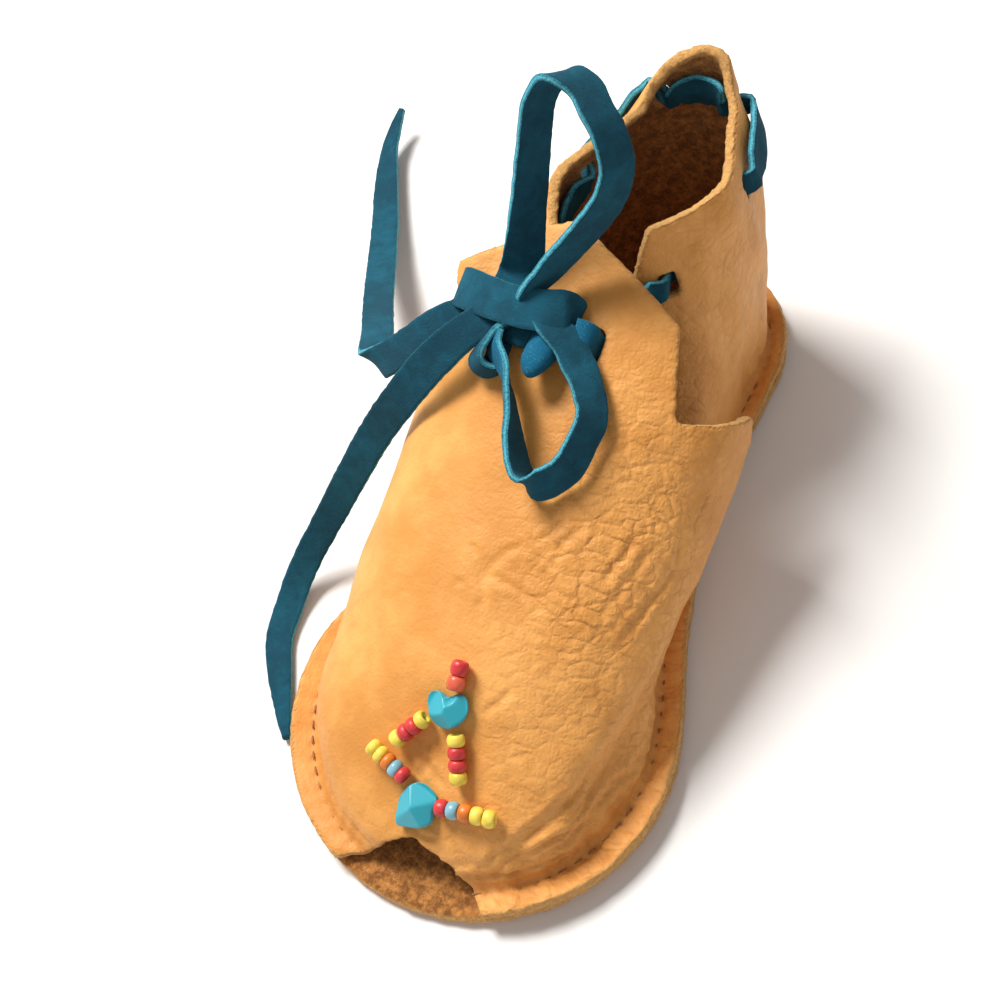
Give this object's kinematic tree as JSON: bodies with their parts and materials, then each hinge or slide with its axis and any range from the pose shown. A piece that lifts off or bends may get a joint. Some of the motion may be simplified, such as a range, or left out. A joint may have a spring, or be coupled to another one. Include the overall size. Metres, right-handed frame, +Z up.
{
  "type": "baby moccasin",
  "caption": "Soft-soled baby moccasin of golden deerskin: tongue flap, toe notch, teal suede lace tied in a bow round the ankle, and a small figure of beads and turquoise nuggets.",
  "frame": {"origin": "middle of the shoe on the plane that its sole stands on, without the free lace", "axes": "+Y from toe to heel along the shoe, +X towards the right with the toe towards the viewer, +Z up"},
  "size_m": [0.1079, 0.1433, 0.0759],
  "materials": {
    "deerskin": "matte",
    "lace_suede": "matte",
    "bead_red": "gloss",
    "bead_coral": "gloss",
    "bead_yellow": "gloss",
    "bead_orange": "gloss",
    "bead_sky": "gloss",
    "turquoise": "satin"
  },
  "bodies": {
    "root": {"outsole": "deerskin", "upper_vamp": "deerskin", "upper_quarter": "deerskin", "lace_ankle": "lace_suede", "lace_knot": "lace_suede", "lace_loop_upper": "lace_suede", "lace_loop_lower": "lace_suede", "lace_end_short": "lace_suede", "lace_end_long": "lace_suede", "bead_crown_1": "bead_red", "bead_crown_2": "bead_coral", "bead_left_leg_1": "bead_yellow", "bead_left_leg_2": "bead_red", "bead_left_leg_3": "bead_red", "bead_left_leg_4": "bead_yellow", "bead_right_leg_1": "bead_yellow", "bead_right_leg_2": "bead_red", "bead_right_leg_3": "bead_red", "bead_right_leg_4": "bead_yellow", "bead_left_arm_1": "bead_yellow", "bead_left_arm_2": "bead_yellow", "bead_left_arm_3": "bead_orange", "bead_left_arm_4": "bead_sky", "bead_left_arm_5": "bead_red", "bead_right_arm_1": "bead_red", "bead_right_arm_2": "bead_sky", "bead_right_arm_3": "bead_orange", "bead_right_arm_4": "bead_yellow", "bead_right_arm_5": "bead_yellow", "nugget_heart": "turquoise", "nugget_wedge": "turquoise"}
  },
  "joints": []
}
